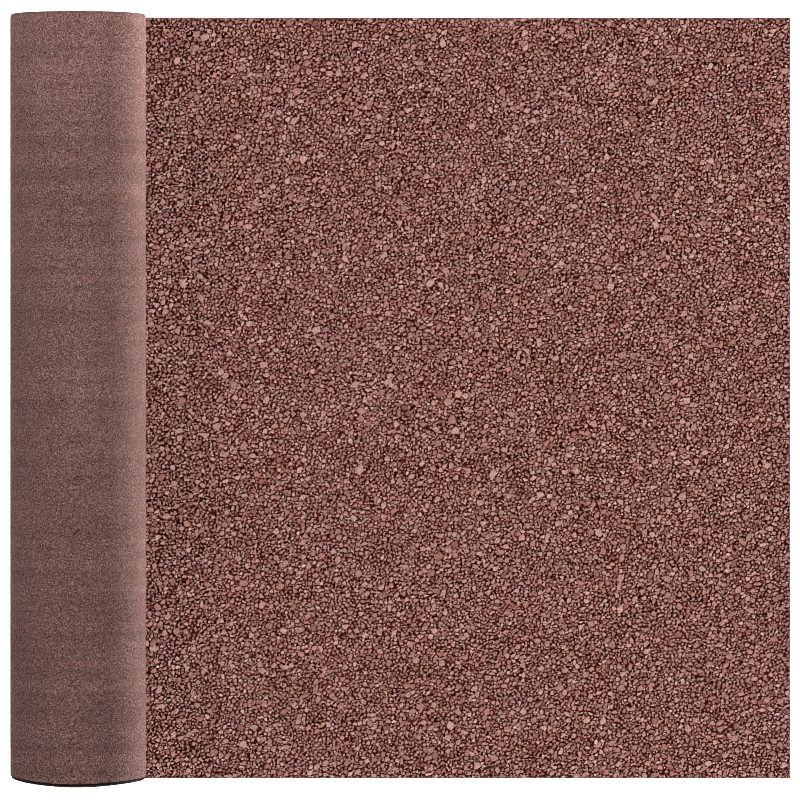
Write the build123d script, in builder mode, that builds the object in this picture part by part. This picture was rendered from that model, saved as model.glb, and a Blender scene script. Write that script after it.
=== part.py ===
from build123d import *
import math
import os

os.makedirs("parts", exist_ok=True)

# Roll of mineral-surfaced roofing felt lying on a level floor, its loose end
# unrolled flat to one side. Millimetres, +Z up, +Y along the roll's axis, +X the
# way the felt unrolls. Origin on the floor, under the middle of the whole piece.

# ---- driving dimensions
FELT_WIDTH = 1000.0  # width of the felt, which is also the roll's length
FELT_T = 3.0  # thickness of the felt over its granules
STOCK_LENGTH = 8000.0  # whole length of felt in the piece
ROLL_D = 177.0  # over the outermost turn
FLAT_LENGTH = 932.0  # laid flat, from under the roll's axis to the cut end
TURN_GAP_W = 0.7  # mouth of the gap that shows between two turns on an end
TURN_GAP_DEPTH = 1.6  # how deep that gap reads

# ---- what follows from them
ROLL_R = ROLL_D / 2
WOUND_LENGTH = STOCK_LENGTH - FLAT_LENGTH
# The turns lie tight on each other, so the ring's section is the wound length
# times the thickness: pi * (R^2 - r^2) = wound length * thickness.
BORE_R = math.floor(math.sqrt(ROLL_R**2 - WOUND_LENGTH * FELT_T / math.pi) + 0.5)
TURNS = int((ROLL_R - BORE_R) / FELT_T)
TURN_PITCH = (ROLL_R - BORE_R) / TURNS
AXIS_X = -(FLAT_LENGTH - ROLL_R) / 2  # the roll's axis, left of the middle
HALF = FELT_WIDTH / 2

roll_axis = Axis((AXIS_X, 0, ROLL_R), (0, 1, 0))
# Half-section through the roll: local x is the radius, local y runs along Y.
half_section = Plane(origin=(AXIS_X, 0, ROLL_R), x_dir=(1, 0, 0), z_dir=(0, 0, 1))

with BuildPart() as felt_roll:
    # the wound part, with its open bore
    with BuildSketch(half_section):
        with Locations(((BORE_R + ROLL_R) / 2, 0)):
            Rectangle(ROLL_R - BORE_R, FELT_WIDTH)
    revolve(axis=roll_axis)

    # the flat part: the outermost turn leaves the roll at the floor
    with BuildSketch(Plane.XY):
        with Locations((AXIS_X + FLAT_LENGTH / 2, 0)):
            Rectangle(FLAT_LENGTH, FELT_WIDTH)
    extrude(amount=FELT_T)

    # the turns, as a narrow gap between each two of them on both ends
    with BuildSketch(half_section):
        for i in range(1, TURNS):
            r = ROLL_R - i * TURN_PITCH
            for end in (-1, 1):
                with BuildLine():
                    Polyline(
                        (r - TURN_GAP_W / 2, end * (HALF + 1)),
                        (r - TURN_GAP_W / 2, end * HALF),
                        (r, end * (HALF - TURN_GAP_DEPTH)),
                        (r + TURN_GAP_W / 2, end * HALF),
                        (r + TURN_GAP_W / 2, end * (HALF + 1)),
                        close=True,
                    )
                make_face()
    revolve(axis=roll_axis, mode=Mode.SUBTRACT)

felt_roll.part.label = "felt_roll"
export_step(felt_roll.part, "parts/felt_roll.step")

box = felt_roll.part.bounding_box()
print(f"bore radius {BORE_R}, turns {TURNS}, pitch {TURN_PITCH:.3f}, axis x {AXIS_X}")
print(f"volume {felt_roll.part.volume / 1e9:.5f} m3, size {box.size}")
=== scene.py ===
import math

import bmesh
import bpy
import numpy as np
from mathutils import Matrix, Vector


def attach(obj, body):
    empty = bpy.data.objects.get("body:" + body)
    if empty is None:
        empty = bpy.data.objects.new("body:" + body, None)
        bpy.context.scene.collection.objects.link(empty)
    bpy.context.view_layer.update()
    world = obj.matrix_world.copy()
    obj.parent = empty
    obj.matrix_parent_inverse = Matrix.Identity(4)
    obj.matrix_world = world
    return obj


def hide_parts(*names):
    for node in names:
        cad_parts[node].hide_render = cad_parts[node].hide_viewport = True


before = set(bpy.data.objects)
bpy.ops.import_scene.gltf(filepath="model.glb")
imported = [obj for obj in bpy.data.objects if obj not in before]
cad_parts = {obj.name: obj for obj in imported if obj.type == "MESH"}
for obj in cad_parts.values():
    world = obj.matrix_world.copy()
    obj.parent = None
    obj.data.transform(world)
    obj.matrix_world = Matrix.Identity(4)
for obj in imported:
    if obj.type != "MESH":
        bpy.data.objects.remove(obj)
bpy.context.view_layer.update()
scene = bpy.context.scene

# ---------------------------------------------------------------- sizes, metres
WIDTH = 1.0  # the felt's width, along Y
HALF = WIDTH / 2
ROLL_R = 0.0885  # over the outermost turn
AXIS_X = -0.42175  # the roll's axis runs along Y at this x, ROLL_R above the floor
FLAT = 0.932  # from under the axis to the cut end
END_X = AXIS_X + FLAT
BODY = 0.0017  # bitumen body, from the sanded underside to the granule bed
FELT = 0.003  # over the granules
PITCH = 0.00285  # from turn to turn: the granules bed into the turn outside them
BORE_R = 0.033
TURNS = (ROLL_R - FELT - BORE_R) / PITCH
PHI_END = 2 * math.pi * TURNS

TAU = 2 * math.pi


def smooth(x):
    x = np.clip(x, 0, 1)
    return x * x * (3 - 2 * x)


# ---------------------------------------------------------------- the strip's shape
# phi counts the winding from the line where the felt leaves the floor: up the
# left side, over the top, down the right side and on inwards. h is the height
# above the sanded underside, towards the roll's axis.
wave = np.random.default_rng(11)
WOBBLE = [
    (k, wave.uniform(0, TAU), 0.00011 / (1 + 0.25 * i))
    for i, k in enumerate((0.31, 0.73, 1.19, 2.03, 3.1))
]
DRIFT = [
    (k, wave.uniform(0, TAU), 0.00042 / (1 + 0.6 * i))
    for i, k in enumerate((0.17, 0.41, 0.77, 1.3))
]


def turns_in(phi):
    """Turns below the outermost face. The outer turns keep their radius and step down where they
    ride over the felt's start at the floor; further in, the spiral evens out."""
    whole = np.floor(phi / TAU)
    stepped = whole + smooth((phi / TAU - whole - 0.69) / 0.31)
    return stepped + (phi / TAU - stepped) * smooth((phi / TAU - 0.9) / 5.0)


def telescope(phi):
    """How far the turns have slipped along the axis."""
    slip = -0.0009 * smooth((phi - math.radians(230)) / math.radians(120))
    inner = smooth((phi - TAU) / 4.0)
    return slip + inner * sum(a * np.sin(k * phi + p) for k, p, a in DRIFT)


def crush(phi, y, r):
    """The rims curl in a little, most on the flanks and more at the -Y end."""
    flank = np.abs(np.sin(phi)) ** 3
    low = (np.asarray(y) < 0) * 1.0
    zone = 0.0030 + (0.0022 + 0.0028 * low) * flank
    edge = np.clip((np.abs(y) - (HALF - zone)) / zone, 0, 1)
    depth = (0.0008 + 0.0005 * low + (0.0011 + 0.0006 * low) * flank) * edge**2
    return depth * np.exp(-np.clip(ROLL_R - r, 0, 1) / 0.012)


def out_of_true(phi, y):
    """At the -Y end the rim stands back on the flanks, the left one most, and stands out on top."""
    near = np.clip((-np.asarray(y) - (HALF - 0.07)) / 0.07, 0, 1) ** 1.5
    back = (0.0051 + 0.0009 * np.sin(phi)) * np.sin(phi) ** 2
    return near * (back - 0.0022 * (1 - np.cos(phi)) / 2)


def wound(phi, y, h):
    phi, y, h = np.broadcast_arrays(*(np.asarray(a, float) for a in (phi, y, h)))
    r = ROLL_R - PITCH * turns_in(phi)
    r = r + smooth((phi - 4.6) / 3.0) * sum(a * np.sin(k * phi + p) for k, p, a in WOBBLE)
    r = r - h - crush(phi, y, r)
    y = y + telescope(phi) + out_of_true(phi, y) * smooth(phi / 0.6)
    return np.stack([AXIS_X - r * np.sin(phi), y, ROLL_R - r * np.cos(phi)], -1)


# arc length along the winding, to place granules by
LONG_PHI = np.linspace(0, PHI_END, 6001)
_r = ROLL_R - PITCH * turns_in(LONG_PHI) - BODY
LONG_S = np.concatenate([[0], np.cumsum((_r[1:] + _r[:-1]) / 2 * np.diff(LONG_PHI))])


def wound_at(s, y, h):
    return wound(np.interp(s, LONG_S, LONG_PHI), y, h)


def flat(x, y, h):
    x, y, h = np.broadcast_arrays(*(np.asarray(a, float) for a in (x, y, h)))
    return np.stack([x, y, h], -1)


# ---------------------------------------------------------------- mesh helpers
def new_mesh(name, verts, loops, starts, slots, attrs=(), smooth_faces=False, uvs=None):
    """A mesh from flat arrays. attrs are (name, domain, value for each element)."""
    me = bpy.data.meshes.new(name)
    me.vertices.add(len(verts))
    me.vertices.foreach_set("co", np.ascontiguousarray(verts, np.float32).ravel())
    me.loops.add(len(loops))
    me.loops.foreach_set("vertex_index", np.asarray(loops, np.int32))
    me.polygons.add(len(starts))
    me.polygons.foreach_set("loop_start", np.asarray(starts, np.int32))
    me.polygons.foreach_set("material_index", np.asarray(slots, np.int32))
    me.polygons.foreach_set("use_smooth", np.full(len(starts), smooth_faces))
    if uvs is not None:
        layer = me.uv_layers.new(name="OFBake")
        layer.uv.foreach_set("vector", np.ascontiguousarray(uvs, np.float32).ravel())
    for attr, domain, values in attrs:
        a = me.attributes.new(attr, "FLOAT", domain)
        a.data.foreach_set("value", np.ascontiguousarray(values, np.float32))
    me.update(calc_edges=True)
    ob = bpy.data.objects.new(name, me)
    scene.collection.objects.link(ob)
    return ob


# ---------------------------------------------------------------- node helpers
def material(name):
    m = bpy.data.materials.new(name)
    m.use_nodes = True
    nt = m.node_tree
    nt.nodes.clear()
    out = nt.nodes.new("ShaderNodeOutputMaterial")
    p = nt.nodes.new("ShaderNodeBsdfPrincipled")
    nt.links.new(p.outputs[0], out.inputs[0])
    return m, nt, p


def node(nt, kind, **settings):
    n = nt.nodes.new(kind)
    for k, v in settings.items():
        if k.startswith("in_"):
            n.inputs[k[3:].replace("_", " ")].default_value = v
        else:
            setattr(n, k, v)
    return n


def ramp(nt, source, stops, interpolation="LINEAR"):
    n = nt.nodes.new("ShaderNodeValToRGB")
    n.color_ramp.interpolation = interpolation
    els = n.color_ramp.elements
    while len(els) < len(stops):
        els.new(0.5)
    for e, (pos, col) in zip(els, stops):
        e.position = pos
        e.color = (*col, 1) if len(col) == 3 else col
    nt.links.new(source, n.inputs[0])
    return n.outputs[0]


def grey(nt, source, a, b, lo=0.0, hi=1.0):
    n = node(nt, "ShaderNodeMapRange", clamp=True)
    n.inputs["From Min"].default_value, n.inputs["From Max"].default_value = a, b
    n.inputs["To Min"].default_value, n.inputs["To Max"].default_value = lo, hi
    nt.links.new(source, n.inputs["Value"])
    return n.outputs["Result"]


def math_node(nt, op, a, b=None):
    n = node(nt, "ShaderNodeMath", operation=op)
    for i, v in enumerate((a, b)):
        if v is None:
            continue
        if isinstance(v, (int, float)):
            n.inputs[i].default_value = v
        else:
            nt.links.new(v, n.inputs[i])
    return n.outputs[0]


def mix(nt, kind, fac, a, b):
    n = node(nt, "ShaderNodeMix", data_type="RGBA", blend_type=kind, clamp_factor=True)
    for i, v in ((0, fac), (6, a), (7, b)):
        if isinstance(v, (int, float)):
            n.inputs[i].default_value = v
        elif isinstance(v, tuple):
            n.inputs[i].default_value = (*v, 1)
        else:
            nt.links.new(v, n.inputs[i])
    return n.outputs[2]


def noise(nt, vector, scale, detail=2.0, rough=0.5, dims="3D", distortion=0.0):
    n = node(nt, "ShaderNodeTexNoise", noise_dimensions=dims)
    n.inputs["Scale"].default_value = scale
    n.inputs["Detail"].default_value = detail
    n.inputs["Roughness"].default_value = rough
    n.inputs["Distortion"].default_value = distortion
    nt.links.new(vector, n.inputs["W" if dims == "1D" else "Vector"])
    return n


def cells(nt, vector, scale, feature="F1", randomness=1.0):
    n = node(nt, "ShaderNodeTexVoronoi", feature=feature)
    n.inputs["Scale"].default_value = scale
    n.inputs["Randomness"].default_value = randomness
    nt.links.new(vector, n.inputs["Vector"])
    return n


def bump(nt, height, strength, distance, under=None):
    n = node(nt, "ShaderNodeBump")
    n.inputs["Strength"].default_value = strength
    n.inputs["Distance"].default_value = distance
    nt.links.new(height, n.inputs["Height"])
    if under is not None:
        nt.links.new(under, n.inputs["Normal"])
    return n.outputs[0]


def object_coords(nt):
    n = nt.nodes.new("ShaderNodeTexCoord")
    sep = nt.nodes.new("ShaderNodeSeparateXYZ")
    nt.links.new(n.outputs["Object"], sep.inputs[0])
    return n.outputs["Object"], sep.outputs


# ---------------------------------------------------------------- materials
def sanded():
    """The underside: bitumen dusted with fine sand, rolled on in faint bands across the length."""
    m, nt, p = material("sanded_underside")
    co, xyz = object_coords(nt)
    grains = cells(nt, co, 900.0)
    speck = noise(nt, co, 540.0, 2.0, 0.55)
    patch = noise(nt, co, 13.0, 4.0, 0.55)
    bands = noise(nt, xyz[1], 50.0, 3.0, 0.6, dims="1D")
    tone = math_node(nt, "MULTIPLY", grey(nt, speck.outputs[0], 0.23, 0.77), 0.66)
    sep = nt.nodes.new("ShaderNodeSeparateColor")
    nt.links.new(grains.outputs["Color"], sep.inputs[0])
    tone = math_node(nt, "ADD", tone, grey(nt, sep.outputs[0], 0.0, 1.0, 0.03, 0.31))
    base = ramp(
        nt,
        tone,
        [
            (0.20, (0.042, 0.0168, 0.0133)),
            (0.38, (0.093, 0.043, 0.037)),
            (0.52, (0.145, 0.075, 0.067)),
            (0.68, (0.216, 0.128, 0.117)),
            (0.85, (0.320, 0.220, 0.205)),
        ],
    )
    shade = math_node(
        nt,
        "ADD",
        grey(nt, patch.outputs[0], 0.3, 0.7, -0.07, 0.07),
        grey(nt, bands.outputs[0], 0.3, 0.7, -0.07, 0.07),
    )
    # painted light: the underside is made lighter towards +Y
    painted_light_y = node(nt, "ShaderNodeMapRange")
    for socket, value in (("From Min", -0.5), ("From Max", 0.5), ("To Min", 0.515), ("To Max", 0.715)):
        painted_light_y.inputs[socket].default_value = value
    nt.links.new(xyz[1], painted_light_y.inputs["Value"])
    shade = math_node(nt, "ADD", shade, painted_light_y.outputs["Result"])
    # painted light: lighter again near the +Y end
    shade = math_node(nt, "ADD", shade, grey(nt, xyz[1], 0.28, 0.50, 0.0, 0.13))
    scaled = nt.nodes.new("ShaderNodeVectorMath")
    scaled.operation = "SCALE"
    rust = noise(nt, co, 160.0, 3.0, 0.6)
    tint = ramp(nt, rust.outputs[0], [(0.35, (1.03, 0.985, 1.005)), (0.65, (0.97, 1.012, 0.965))])
    nt.links.new(mix(nt, "MULTIPLY", 1.0, base, tint), scaled.inputs[0])
    nt.links.new(shade, scaled.inputs["Scale"])
    # along both edges the sand stops short and the bitumen shows black; at the -Y end and on the inner turns the
    # band is widened as painted shade under the rim
    across = node(nt, "ShaderNodeAttribute", attribute_name="across")
    inset = math_node(nt, "SUBTRACT", HALF, math_node(nt, "ABSOLUTE", across.outputs["Fac"]))
    width = node(nt, "ShaderNodeAttribute", attribute_name="bare_and_shade_band")
    bare_and_shade_band = math_node(nt, "MULTIPLY", width.outputs["Fac"], 0.001)
    ragged = noise(nt, co, 210.0, 3.0, 0.6)
    bare_and_shade_band = math_node(nt, "ADD", bare_and_shade_band, grey(nt, ragged.outputs[0], 0.3, 0.7, -0.0004, 0.0004))
    black = grey(nt, math_node(nt, "SUBTRACT", bare_and_shade_band, inset), -0.00015, 0.00025)
    nt.links.new(mix(nt, "MIX", black, scaled.outputs[0], (0.0045, 0.0016, 0.0012)), p.inputs["Base Color"])
    nt.links.new(grey(nt, speck.outputs[0], 0.3, 0.7, 0.95, 0.8), p.inputs["Roughness"])
    p.inputs["Specular IOR Level"].default_value = 0.04
    n = bump(nt, speck.outputs[0], 0.55, 0.0006)
    n = bump(nt, grains.outputs["Distance"], 0.35, 0.0005, n)
    n = bump(nt, bands.outputs[0], 0.10, 0.002, n)
    nt.links.new(n, p.inputs["Normal"])
    return m


def granule_bed():
    """The bitumen that holds the granules, with the smallest granules and their dust pressed in."""
    m, nt, p = material("granule_bed")
    co, xyz = object_coords(nt)
    small = cells(nt, co, 620.0)
    tiny = noise(nt, co, 900.0, 2.0, 0.6)
    sep = nt.nodes.new("ShaderNodeSeparateColor")
    nt.links.new(small.outputs["Color"], sep.inputs[0])
    grain = ramp(
        nt,
        sep.outputs[0],
        [
            (0.0, (0.016, 0.0022, 0.0010)),
            (0.35, (0.050, 0.0075, 0.0043)),
            (0.75, (0.135, 0.0310, 0.0215)),
            (1.0, (0.26, 0.090, 0.072)),
        ],
    )
    # painted shade: the bed darkens towards the edges of its small grains, in the crevices between them
    painted_gap_shade = ramp(nt, small.outputs["Distance"], [(0.3, (1, 1, 1)), (0.72, (0.16, 0.13, 0.12))])
    col = mix(nt, "MULTIPLY", 1.0, grain, painted_gap_shade)
    col = mix(nt, "MULTIPLY", 0.5, col, ramp(nt, tiny.outputs[0], [(0.3, (0.4, 0.4, 0.4)), (0.7, (1, 1, 1))]))
    nt.links.new(col, p.inputs["Base Color"])
    p.inputs["Roughness"].default_value = 0.9
    p.inputs["Specular IOR Level"].default_value = 0.0
    inv = math_node(nt, "SUBTRACT", 1.0, small.outputs["Distance"])
    n = bump(nt, inv, 0.9, 0.0012)
    n = bump(nt, tiny.outputs[0], 0.3, 0.0004, n)
    nt.links.new(n, p.inputs["Normal"])
    return m


def cut_edge():
    """Bitumen where the felt was slit to width: black, dull, with drag marks."""
    m, nt, p = material("bitumen_edge")
    co, xyz = object_coords(nt)
    fine = noise(nt, co, 500.0, 3.0, 0.6)
    broad = noise(nt, co, 60.0, 3.0, 0.5)
    col = ramp(
        nt,
        fine.outputs[0],
        [(0.3, (0.0030, 0.0022, 0.0020)), (0.62, (0.010, 0.0070, 0.0062)), (0.8, (0.045, 0.026, 0.022))],
    )
    nt.links.new(col, p.inputs["Base Color"])
    nt.links.new(grey(nt, broad.outputs[0], 0.3, 0.7, 0.6, 0.85), p.inputs["Roughness"])
    p.inputs["Specular IOR Level"].default_value = 0.12
    n = bump(nt, fine.outputs[0], 0.5, 0.0004)
    nt.links.new(n, p.inputs["Normal"])
    return m


def granules():
    """Coloured mineral chips. Each has its own tone, is mottled and finely pitted, and is dark at its foot: partly
    bitumen crept up round it, partly painted shade in the gaps between chips."""
    m, nt, p = material("mineral_granules")
    co, xyz = object_coords(nt)
    own = node(nt, "ShaderNodeAttribute", attribute_name="chip")
    hue = node(nt, "ShaderNodeAttribute", attribute_name="hue")
    lift = node(nt, "ShaderNodeAttribute", attribute_name="lift")
    mottle = noise(nt, co, 420.0, 3.0, 0.6)
    fine = noise(nt, co, 760.0, 1.0, 0.6)
    red = ramp(
        nt,
        own.outputs["Fac"],
        [
            (0.0, (0.165, 0.056, 0.043)),
            (0.5, (0.385, 0.206, 0.184)),
            (1.0, (0.660, 0.498, 0.470)),
        ],
    )
    dull = ramp(
        nt,
        own.outputs["Fac"],
        [
            (0.0, (0.175, 0.067, 0.051)),
            (0.5, (0.380, 0.224, 0.195)),
            (1.0, (0.630, 0.485, 0.448)),
        ],
    )
    col = mix(nt, "MIX", ramp(nt, hue.outputs["Fac"], [(0.75, (0, 0, 0)), (0.95, (1, 1, 1))]), red, dull)
    col = mix(nt, "MULTIPLY", 0.72, col, ramp(nt, mottle.outputs[0], [(0.34, (0.52, 0.38, 0.35)), (0.50, (1, 1, 1)), (0.66, (1.15, 1.22, 1.235))]))
    col = mix(nt, "MULTIPLY", 1.0, col, ramp(nt, fine.outputs[0], [(0.32, (0.74, 0.64, 0.62)), (0.5, (1, 1, 1)), (0.66, (1.14, 1.19, 1.195))]))
    # painted shade: darkest at each chip's foot and a little dark at its top edge, partly bitumen crept up round it
    height = math_node(nt, "ADD", lift.outputs["Fac"], grey(nt, mottle.outputs[0], 0.3, 0.7, -0.16, 0.16))
    foot_stain_and_shade = ramp(nt, height, [(0.18, (0.075, 0.011, 0.006)), (0.42, (0.53, 0.23, 0.175)), (0.60, (0.90, 0.79, 0.755)), (0.74, (1.0, 1.0, 1.0))])
    col = mix(nt, "MULTIPLY", 1.0, col, foot_stain_and_shade)
    # batches of granules differ a little, redder here and browner there
    batch = noise(nt, co, 17.0, 2.0, 0.5)
    drift = ramp(nt, batch.outputs[0], [(0.35, (1.017, 0.983, 0.980)), (0.65, (0.983, 1.011, 1.0))])
    col = mix(nt, "MULTIPLY", 1.0, col, drift)
    warm = noise(nt, co, 70.0, 2.0, 0.5)
    col = mix(nt, "MULTIPLY", 1.0, col, ramp(nt, warm.outputs[0], [(0.35, (1.0, 0.99, 1.028)), (0.65, (1.0, 1.01, 0.97))]))
    col = mix(nt, "MULTIPLY", 1.0, col, ramp(nt, hue.outputs["Fac"], [(0.0, (1.0, 0.99, 1.03)), (0.74, (1.0, 1.005, 0.975)), (0.8, (1, 1, 1))]))
    # painted shade and light: the granules are a little darker near the roll and lighter towards +X
    painted_light_x = nt.nodes.new("ShaderNodeVectorMath")
    painted_light_x.operation = "SCALE"
    nt.links.new(col, painted_light_x.inputs[0])
    nt.links.new(grey(nt, xyz[0], -0.35, 0.30, 0.985, 1.06), painted_light_x.inputs["Scale"])
    nt.links.new(painted_light_x.outputs[0], p.inputs["Base Color"])
    nt.links.new(grey(nt, mottle.outputs[0], 0.3, 0.7, 0.85, 0.6), p.inputs["Roughness"])
    p.inputs["Specular IOR Level"].default_value = 0.01
    n = bump(nt, mottle.outputs[0], 0.4, 0.0008)
    n = bump(nt, fine.outputs[0], 0.3, 0.0003, n)
    nt.links.new(n, p.inputs["Normal"])
    return m


SANDED, BED, EDGE, GRANULES = sanded(), granule_bed(), cut_edge(), granules()


# ---------------------------------------------------------------- the felt's body
def felt_body():
    rows = np.array([0.0, 0.25, 0.4, 0.47, 0.4895, 0.4925, 0.4945, 0.4962, 0.4977, 0.4988, 0.49965])
    ys = np.concatenate([-rows[:0:-1], rows])
    n = len(ys)
    # around the section: underside from -Y to +Y, up the +Y edge, back over the top, down the -Y edge
    sec_y = np.concatenate([ys, [HALF, HALF], ys[::-1], [-HALF, -HALF]])
    sec_h = np.concatenate([np.zeros(n), [0.00035, BODY - 0.00025], np.full(n, BODY), [BODY - 0.00025, 0.00035]])
    k = len(sec_y)
    xs = np.linspace(END_X, AXIS_X, 49)[:-1]
    phis = np.concatenate(
        [np.linspace(0, 1.6 * TAU, 161)[:-1], np.linspace(1.6 * TAU, PHI_END, int((TURNS - 1.6) * 50))]
    )
    rings = [flat(x, sec_y, sec_h) for x in xs] + [wound(p, sec_y, sec_h) for p in phis]
    verts = np.concatenate(rings)
    m = len(rings)
    i = np.arange(m - 1)[:, None] * k
    a = np.arange(k)[None, :]
    b = (a + 1) % k
    quads = np.stack([i + a, i + b, i + k + b, i + k + a], -1).reshape(-1, 4)
    # which face each quad is: underside, edge, bed
    kind = np.zeros(k, int)
    kind[:n - 1] = 0
    kind[n - 1 : n + 2] = 2
    kind[n + 2 : 2 * n + 1] = 1
    kind[2 * n + 1 :] = 2
    slots = np.tile(kind, m - 1)
    wind = np.repeat(np.concatenate([np.full(len(xs), -1.0), phis]), k)
    across = np.tile(sec_y, m)
    # how wide the black edge band is, in millimetres: bare bitumen, widened at the -Y end and on the inner turns as
    # painted shade under the rim
    deg = np.degrees(wind)
    low_edge = 3.3 + 1.6 * np.sin(wind) ** 2 + 5 * smooth((deg - 300) / 40)
    low_edge = np.where(deg < 0, 1.0, low_edge)
    bare_and_shade_band = np.where(across < 0, low_edge, 0.2 + 4 * smooth((deg - 300) / 40))
    # the cut end and the inner end: quads from the underside's rows to the bed's
    caps = []
    for first, flip in ((0, False), ((m - 1) * k, True)):
        low = first + np.concatenate([[2 * n + 3], np.arange(n), [n]])
        high = first + np.concatenate([[2 * n + 2], n + 2 + np.arange(n)[::-1], [n + 1]])
        q = np.stack([low[:-1], high[:-1], high[1:], low[1:]], -1)
        caps.append(q[:, ::-1] if flip else q)
    quads = np.concatenate([quads] + caps)
    slots = np.concatenate([slots, np.full(sum(len(c) for c in caps), 2)])

    # bake map: the parts that show get most of it
    length = np.concatenate([END_X - xs, FLAT + ROLL_R * phis - PITCH * phis**2 / (2 * TAU)])
    ring = quads // k
    pos = quads % k
    s, y = length[ring], sec_y[pos]
    side = np.concatenate([np.tile(kind, m - 1), np.full(len(quads) - k * (m - 1), 3)])
    s_mid = s.mean(1, keepdims=True)
    v = (y + HALF) / WIDTH
    outer_s = FLAT + 0.66
    on_flat, on_outer = s_mid < FLAT, (s_mid >= FLAT) & (s_mid < outer_s)
    u = np.zeros(s.shape)
    w = np.zeros(s.shape)

    def place(where, x0, x1, y0, y1, uu, vv):
        u[:] = np.where(where, x0 + (x1 - x0) * uu, u)
        w[:] = np.where(where, y0 + (y1 - y0) * vv, w)

    total = length[-1]
    bottom, top, edge = (side == 0)[:, None], (side == 1)[:, None], (side == 2)[:, None]
    place(bottom & on_flat, 0.01, 0.33, 0.01, 0.47, s / FLAT, v)
    place(top & on_flat, 0.35, 0.67, 0.01, 0.47, s / FLAT, v)
    place(bottom & on_outer, 0.01, 0.67, 0.49, 0.99, (s - FLAT) / 0.66, v)
    place(top & on_outer, 0.69, 0.80, 0.01, 0.47, (s - FLAT) / 0.66, v)
    inner = (s - outer_s) / (total - outer_s)
    place(bottom & ~on_flat & ~on_outer, 0.82, 0.99, 0.01, 0.23, inner, v)
    place(top & ~on_flat & ~on_outer, 0.82, 0.99, 0.25, 0.47, inner, v)
    low_end = (y.mean(1, keepdims=True) < 0) & edge
    high_end = (y.mean(1, keepdims=True) > 0) & edge
    hh = sec_h[pos] / BODY
    # each end's edge is laid out in five rows of the strip's length
    lane = np.minimum((s_mid / total * 5).astype(int), 4)
    along = (s / total * 5 - lane).clip(0, 1)
    place(low_end, 0.69, 0.83, 0.49, 0.99, along, (lane + 0.1 + 0.8 * hh) / 5)
    place(high_end, 0.85, 0.99, 0.49, 0.99, along, (lane + 0.1 + 0.8 * hh) / 5)
    place((side == 3)[:, None], 0.345, 0.348, 0.01, 0.47, hh, v)
    uvs = np.stack([u, w], -1).reshape(-1, 2)

    ob = new_mesh(
        "felt_sheet",
        verts,
        quads.ravel(),
        np.arange(len(quads)) * 4,
        slots,
        attrs=[("across", "POINT", across), ("bare_and_shade_band", "POINT", bare_and_shade_band)],
        smooth_faces=True,
        uvs=uvs,
    )
    for mat in (SANDED, BED, EDGE):
        ob.data.materials.append(mat)
    ob.data.polygons.foreach_set("use_smooth", slots != 2)
    return ob


# ---------------------------------------------------------------- granules
def pack_chips(long, wide, steps, rng, cell=0.0004, closeness=0.86):
    """Centres and radii over a field, large ones first. steps are (radius, most of them)."""
    nx, ny = int(long / cell), int(wide / cell)
    centres, radii = [], []
    discs = {}

    def disc(r):
        key = int(round(r / cell))
        if key not in discs:
            g = np.arange(-key, key + 1)
            discs[key] = (key, g[:, None] ** 2 + g[None, :] ** 2 <= (r / cell) ** 2)
        return discs[key]

    def stamp(taken, i, j, d):
        key, mask = d
        i0, i1, j0, j1 = max(i - key, 0), min(i + key + 1, nx), max(j - key, 0), min(j + key + 1, ny)
        taken[i0:i1, j0:j1] |= mask[i0 - i + key : i1 - i + key, j0 - j + key : j1 - j + key]

    for r, most in steps:
        taken = np.zeros((nx, ny), bool)
        for (i, j), other in zip(centres, radii):
            stamp(taken, i, j, disc((r + other) * closeness))
        free = np.flatnonzero(~taken)
        rng.shuffle(free)
        own, made = disc(2 * r * closeness), 0
        for f in free[: most * 40]:
            i, j = divmod(int(f), ny)
            if taken[i, j]:
                continue
            stamp(taken, i, j, own)
            centres.append((i, j))
            radii.append(r)
            made += 1
            if made >= most:
                break
    c = (np.array(centres) + rng.random((len(centres), 2))) * cell
    return c, np.array(radii)


def neighbours(c, k, reach):
    """The k nearest other centres of each centre, found through square bins."""
    lo = c.min(0)
    ij = ((c - lo) / reach).astype(int) + 1
    nx, ny = ij.max(0) + 2
    flat_bin = ij[:, 0] * ny + ij[:, 1]
    order = np.argsort(flat_bin, kind="stable")
    count = np.bincount(flat_bin, minlength=nx * ny)
    first = np.concatenate([[0], np.cumsum(count)[:-1]])
    most = count.max()
    table = np.full((nx * ny, most), -1)
    rank = np.arange(len(c)) - first[flat_bin[order]]
    table[flat_bin[order], rank] = order
    out = np.zeros((len(c), k), int)
    for part in np.array_split(np.arange(len(c)), max(1, len(c) // 4000)):
        around = [table[flat_bin[part] + dx * ny + dy] for dx in (-1, 0, 1) for dy in (-1, 0, 1)]
        cand = np.concatenate(around, 1)
        d = np.linalg.norm(c[cand] - c[part][:, None], axis=-1)
        d[(cand < 0) | (cand == part[:, None])] = 1.0
        near = np.argsort(d, 1)[:, :k]
        out[part] = np.take_along_axis(cand, near, 1)
    return out


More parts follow.
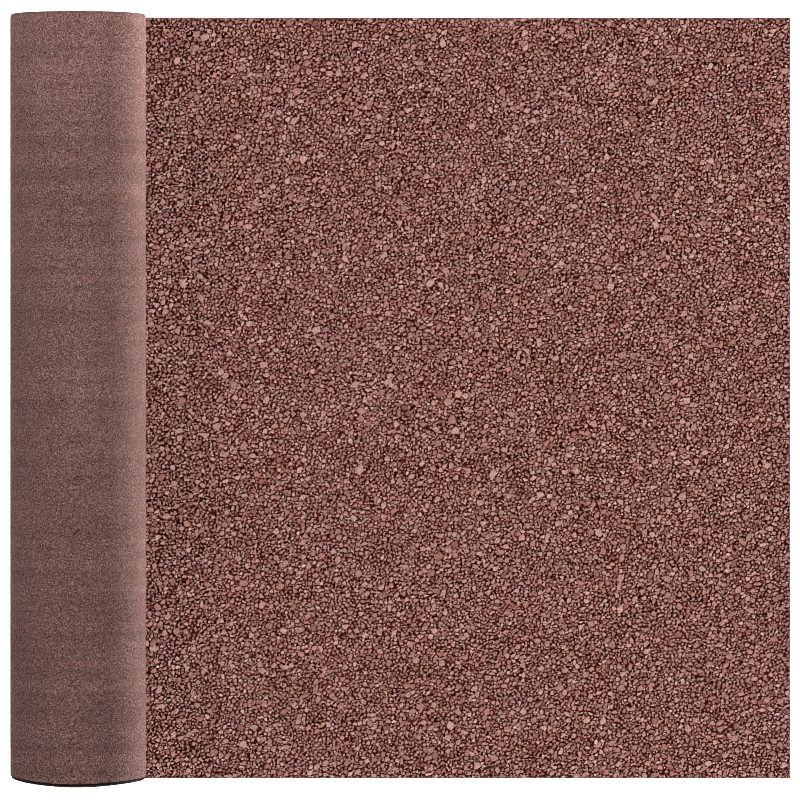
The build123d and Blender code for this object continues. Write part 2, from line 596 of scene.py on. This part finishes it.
def chip_shapes(centres, radii, rng, bounds, base, rise, tallest, snug=(0.98, 1.10), gone=0.035):
    """Closed chips in strip coordinates (along, across, height), grouped by how many sides they have.
    Each point of the felt goes to the chip that is nearest in that chip's own stretched measure, so
    neighbours fit each other like crazy paving, with narrow gaps. Each chip is a low frustum with a
    tilted, faceted top. bounds are the felt's cut edges."""
    lo_x, hi_x, lo_y, hi_y = bounds
    total = len(radii)
    # a chip's measure is a stretched circle: 1 at its own outline
    stretch = 1 + 3.1 * rng.beta(1.5, 2.1, total)
    # most of them lie roughly one way, about 32 degrees off the felt's length
    turn = rng.normal(0.56, 0.52, total)
    long = 1 / (radii**2 * stretch)
    short = stretch / radii**2
    ca, sa = np.cos(turn), np.sin(turn)
    mxx = long * ca**2 + short * sa**2
    myy = long * sa**2 + short * ca**2
    mxy = (long - short) * ca * sa
    near = neighbours(centres, 22, 0.0125)
    step = centres[near] - centres[:, None]
    sides = np.select(
        [radii > 0.0038, radii > 0.0026],
        [rng.integers(5, 8, total), rng.integers(4, 7, total)],
        rng.integers(3, 6, total),
    )
    sides = np.maximum(sides, 4)
    # a few small ones have come out and left a pit
    lost = (radii < 0.0023) & (rng.random(total) < gone)
    groups = []
    for n in np.unique(sides):
        pick = np.flatnonzero((sides == n) & ~lost)
        c, r, m = centres[pick], radii[pick], len(pick)
        ang = (np.arange(n)[None, :] + rng.uniform(-0.42, 0.42, (m, n))) * TAU / n + rng.uniform(0, TAU, (m, 1))
        dx, dy = np.cos(ang), np.sin(ang)
        own = mxx[pick, None] * dx**2 + 2 * mxy[pick, None] * dx * dy + myy[pick, None] * dy**2
        j = near[pick]
        qx, qy = step[pick][..., 0], step[pick][..., 1]
        jx, jm, jy = mxx[j], mxy[j], myy[j]
        d_x, d_y = dx[:, :, None], dy[:, :, None]
        other = jx[:, None] * d_x**2 + 2 * jm[:, None] * d_x * d_y + jy[:, None] * d_y**2
        cross = (jx * qx + jm * qy)[:, None] * d_x + (jm * qx + jy * qy)[:, None] * d_y
        rest = (jx * qx**2 + 2 * jm * qx * qy + jy * qy**2)[:, None]
        # where along the ray both measures agree: (own - other) t^2 + 2 cross t - rest = 0
        lead = own[:, :, None] - other
        lead = np.where(np.abs(lead) < 1e-3, 1e-3, lead)
        root = np.sqrt(np.maximum(cross**2 + lead * rest, 0))
        t1, t2 = (-cross + root) / lead, (-cross - root) / lead
        real = cross**2 + lead * rest >= 0
        t = np.minimum(np.where((t1 > 0) & real, t1, 1.0), np.where((t2 > 0) & real, t2, 1.0)).min(-1)
        for hit, way in ((hi_x - c[:, :1], dx), (lo_x - c[:, :1], dx), (hi_y - c[:, 1:], dy), (lo_y - c[:, 1:], dy)):
            ray = hit / np.where(np.abs(way) < 1e-6, 1e-6, way)
            t = np.minimum(t, np.where(ray > 0, ray, 1.0))
        reach = np.clip(t, 0.35 * r[:, None], 1.55 / np.sqrt(own))
        reach = reach * rng.uniform(*snug, (m, n)) * rng.normal(1.0, 0.05, (m, 1))
        low = np.stack([dx, dy], -1) * reach[..., None]
        # the wall leans in, and one side more than the other
        width = rng.uniform(0.00008, 0.00022, (m, 1, 1)) + rng.uniform(0, 0.00036, (m, n, 1))
        width = width * (0.7 + r / 0.006)[:, None, None]
        inset = np.maximum(1 - width / r[:, None, None], 0.6)
        shift = rng.normal(0, 0.07, (m, 1, 2)) * r[:, None, None]
        top = low * inset + shift
        peak = (top.mean(1) + rng.normal(0, 0.25, (m, 2)) * r[:, None])[:, None]
        ring_low = np.clip(c[:, None] + low, (lo_x, lo_y), (hi_x, hi_y))
        ring_top = np.clip(c[:, None] + top, (lo_x, lo_y), (hi_x, hi_y))
        apex = np.clip(c[:, None] + peak, (lo_x, lo_y), (hi_x, hi_y))
        tall = rise * (0.28 + 0.75 * rng.random(m) + 50 * r)
        lean = np.clip(rng.normal(0, 0.30, (m, 2)), -0.6, 0.6)
        h = tall[:, None] + (top * lean[:, None]).sum(-1) + rng.normal(0, 0.07, (m, n)) * rise
        h_apex = tall[:, None] + (peak * lean[:, None]).sum(-1) + rise * rng.uniform(-0.05, 0.36, (m, 1))
        h = np.clip(h, 0.12 * rise, tallest)
        h_apex = np.clip(h_apex, 0.12 * rise, tallest)
        groups.append((n, ring_low, ring_top, apex, np.full((m, n), base - 0.0003), base + h, base + h_apex))
    return groups


def chips_object(name, groups, place, rng):
    """One joined mesh of closed chips. place maps strip coordinates to the row frame.
    Each chip has its own square of the bake map."""
    count = sum(len(g[1]) for g in groups)
    grid = int(math.ceil(math.sqrt(count)))
    verts, loops, starts, chip, hue, lift, uvs = [], [], [], [], [], [], []
    nv = nl = done = 0
    for n, ring_low, ring_top, apex, h_low, h_top, h_apex in groups:
        m = len(ring_low)
        if not m:
            continue
        low = place(ring_low[..., 0], ring_low[..., 1], h_low)
        top = place(ring_top[..., 0], ring_top[..., 1], h_top)
        tip = place(apex[..., 0], apex[..., 1], h_apex)
        per_chip = 2 * n + 1
        verts.append(np.concatenate([low, top, tip], 1).reshape(-1, 3))
        lift.append(np.tile(np.concatenate([np.zeros(n), np.full(n, 0.60), [1.0]]), m))
        base = nv + np.arange(m)[:, None] * per_chip
        a = np.arange(n)
        b = (a + 1) % n
        quad = np.stack([base + x for x in (a, b, b + n, a + n)], -1).reshape(m, -1)
        lid = np.stack([base + x for x in (a + n, b + n, np.full(n, 2 * n))], -1).reshape(m, -1)
        bottom = base + a[::-1][None, :]
        per = np.concatenate([quad, lid, bottom], 1)
        loops.append(per.ravel())
        sizes = np.tile(np.concatenate([np.full(n, 4), np.full(n, 3), [n]]), m)
        starts.append(nl + np.concatenate([[0], np.cumsum(sizes)[:-1]]))
        # the small ones are paler: painted glints
        size = np.sqrt(np.prod(np.ptp(ring_low, axis=1), axis=-1)) / 2
        tone = rng.normal(0.48, 0.14, m) + 0.20 * np.clip((0.0024 - size) / 0.0015, 0, 0.8)
        tone = np.clip(tone, 0.12, 0.84 - 0.22 * np.clip((size - 0.0020) / 0.0018, 0, 1))
        chip.append(np.repeat(tone, per_chip))
        hue.append(np.repeat(rng.random(m), per_chip))
        # the chip seen from above, fitted into its own square
        flat_pts = np.concatenate([ring_low, ring_top, apex], 1)
        lo = flat_pts.min(1, keepdims=True)
        span = (flat_pts.max(1, keepdims=True) - lo).max(-1, keepdims=True) + 1e-9
        local = (flat_pts - lo) / span * 0.80 + 0.10
        slot = done + np.arange(m)
        corner = np.stack([slot % grid, slot // grid], -1)[:, None]
        uv = ((corner + local) / grid).reshape(-1, 2)
        uvs.append(uv[per.ravel() - nv])
        nv += m * per_chip
        nl += per.size
        done += m
    ob = new_mesh(
        name,
        np.concatenate(verts),
        np.concatenate(loops),
        np.concatenate(starts),
        np.zeros(sum(len(s) for s in starts), int),
        attrs=[
            ("chip", "POINT", np.concatenate(chip)),
            ("hue", "POINT", np.concatenate(hue)),
            ("lift", "POINT", np.concatenate(lift)),
        ],
        uvs=np.concatenate(uvs),
    )
    ob.data.materials.append(GRANULES)
    return ob


def split(groups, key, edges):
    """The chips of each group, by which range of edges their centre is in."""
    out = []
    for lo, hi in zip(edges[:-1], edges[1:]):
        part = []
        for g in groups:
            mid = key(g[1].mean(1))
            pick = (mid >= lo) & (mid < hi)
            part.append((g[0], *(a[pick] for a in g[1:])))
        out.append(part)
    return out


felt = felt_body()

STEPS = [
    (0.0056, 80),
    (0.0047, 350),
    (0.0040, 1300),
    (0.0034, 4200),
    (0.0028, 7500),
    (0.0023, 8500),
    (0.0018, 10000),
    (0.0014, 10000),
]
rng = np.random.default_rng(4)
NIP = 0.012  # the granules under the roll stop here, where the gap is too low to see into
field = FLAT - NIP
centres, radii = pack_chips(field, WIDTH, STEPS, rng)
centres = centres + (AXIS_X + NIP, -HALF)
groups = chip_shapes(centres, radii, rng, (AXIS_X, END_X, -HALF, HALF), BODY, FELT - BODY, 0.0017)
parts = split(groups, lambda c: c[:, 0], np.linspace(AXIS_X, END_X + 0.01, 6))
grain = [chips_object(f"granules_flat_{i + 1}", part, flat, rng) for i, part in enumerate(parts)]

# the granules between the turns show at both ends, and in the bore near its mouths
def edge_chips(s0, s1, deep, steps, rise, tallest):
    out = []
    for end in (-1, 1):
        c, r = pack_chips(s1 - s0, deep, steps, rng)
        c = np.stack([s0 + c[:, 0], end * (HALF - c[:, 1])], 1)
        limits = (s0, s1, min(end * HALF, end * (HALF - deep)), max(end * HALF, end * (HALF - deep)))
        out += chip_shapes(c, r, rng, limits, BODY, rise, tallest)
    return out


WOUND = LONG_S[-1]
LAST_TURN = WOUND - TAU * 0.0357
ends = edge_chips(0.004, LAST_TURN, 0.0048, [(0.0023, 700), (0.0019, 900), (0.0015, 900)], 0.0009, 0.00108)
grain.append(chips_object("granules_roll_ends", ends, wound_at, rng))
bore = edge_chips(
    LAST_TURN, WOUND - 0.003, 0.085, [(0.0036, 60), (0.0030, 130), (0.0025, 210), (0.0020, 300), (0.0016, 300)], 0.0011, 0.0013
)
grain.append(chips_object("granules_bore", bore, wound_at, rng))

# ---------------------------------------------------------------- hand over to the frame
made = [felt, *grain]
for ob in made:
    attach(ob, "root")
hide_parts("felt_roll")

# ---------------------------------------------------------------- floor, light, camera
me = bpy.data.meshes.new("floor")
size = 40.0
me.from_pydata([(-size, -size, 0), (size, -size, 0), (size, size, 0), (-size, size, 0)], [], [(0, 1, 2, 3)])
floor = bpy.data.objects.new("floor", me)
floor.location.z = -0.0002
scene.collection.objects.link(floor)
m, nt, p = material("floor_white")
p.inputs["Base Color"].default_value = (0.8, 0.8, 0.8, 1)
p.inputs["Emission Color"].default_value = (1, 1, 1, 1)
p.inputs["Emission Strength"].default_value = 0.5
p.inputs["Roughness"].default_value = 0.9
p.inputs["Specular IOR Level"].default_value = 0.1
floor.data.materials.append(m)

# a white backdrop all round, which the camera sees and the light passes through
me = bpy.data.meshes.new("backdrop")
bm = bmesh.new()
bmesh.ops.create_uvsphere(bm, u_segments=64, v_segments=32, radius=39.0)
bmesh.ops.reverse_faces(bm, faces=bm.faces)
bm.to_mesh(me)
bm.free()
backdrop = bpy.data.objects.new("backdrop", me)
scene.collection.objects.link(backdrop)
m, nt, p = material("backdrop_white")
p.inputs["Base Color"].default_value = (0.0, 0.0, 0.0, 1)
p.inputs["Emission Color"].default_value = (1, 1, 1, 1)
p.inputs["Emission Strength"].default_value = 1.0
p.inputs["Specular IOR Level"].default_value = 0.0
backdrop.data.materials.append(m)
backdrop.visible_diffuse = False
backdrop.visible_glossy = False
backdrop.visible_transmission = False
backdrop.visible_shadow = False

world = bpy.data.worlds.new("studio")
world.use_nodes = True
bg = world.node_tree.nodes["Background"]
bg.inputs["Color"].default_value = (1, 1, 1, 1)
bg.inputs["Strength"].default_value = 0.15
scene.world = world


def area(name, location, target, size_x, size_y, watts, colour=(1, 1, 1)):
    data = bpy.data.lights.new(name, "AREA")
    data.shape = "RECTANGLE"
    data.size, data.size_y = size_x, size_y
    data.energy = watts
    data.color = colour
    ob = bpy.data.objects.new(name, data)
    ob.location = location
    ob.rotation_euler = (Vector(target) - Vector(location)).to_track_quat("-Z", "Y").to_euler()
    ob.visible_camera = False
    scene.collection.objects.link(ob)
    return ob


def only_on(light, pieces):
    """Limits a light to some pieces."""
    lit = bpy.data.collections.new(light.name + "_on")
    for piece in pieces:
        lit.objects.link(piece)
    light.light_linking.receiver_collection = lit


def sun(name, azimuth, elevation, level):
    """A distant soft light from azimuth, counted from +X towards +Y."""
    data = bpy.data.lights.new(name, "SUN")
    data.energy = math.pi * level
    data.angle = math.radians(20)
    ob = bpy.data.objects.new(name, data)
    az, el = math.radians(azimuth), math.radians(elevation)
    towards = Vector((math.cos(el) * math.cos(az), math.cos(el) * math.sin(az), math.sin(el)))
    ob.rotation_euler = towards.to_track_quat("Z", "Y").to_euler()
    scene.collection.objects.link(ob)
    return ob


sun("key", -60, 43, 1.6)
# the fill evens out the roll's far side, and leaves no shadow beside it on the granules
only_on(sun("fill", 180, 52, 0.88), [felt, floor])
# a low strip of light beside the roll picks out its flank
rim = area("rim", (AXIS_X + 0.25, 0.0, 0.045), (AXIS_X + 0.065, 0.0, 0.135), 1.5, 0.03, 1.8)
rim.data.spread = math.radians(60)
only_on(rim, [felt])

cam_data = bpy.data.cameras.new("camera")
cam = bpy.data.objects.new("camera", cam_data)
scene.collection.objects.link(cam)
CAM_H = 10.0
cam_data.sensor_width = 36.0
cam_data.lens = 36.0 * CAM_H / (800 / 0.7607 / 1000)
cam.location = (-0.0025, -0.0025, FELT + CAM_H)
cam.rotation_euler = (0, 0, 0)
cam_data.clip_start, cam_data.clip_end = 0.1, 200.0
scene.camera = cam

scene.view_settings.view_transform = "Standard"
scene.view_settings.look = "None"
scene.view_settings.exposure = 0.0
scene.view_settings.gamma = 1.0
scene.cycles.filter_width = 0.85

tris = {}
for ob in made:
    ob.data.calc_loop_triangles()
    tris[ob.name] = len(ob.data.loop_triangles)
print("TRIANGLES", tris, sum(tris.values()), "chips", len(radii))
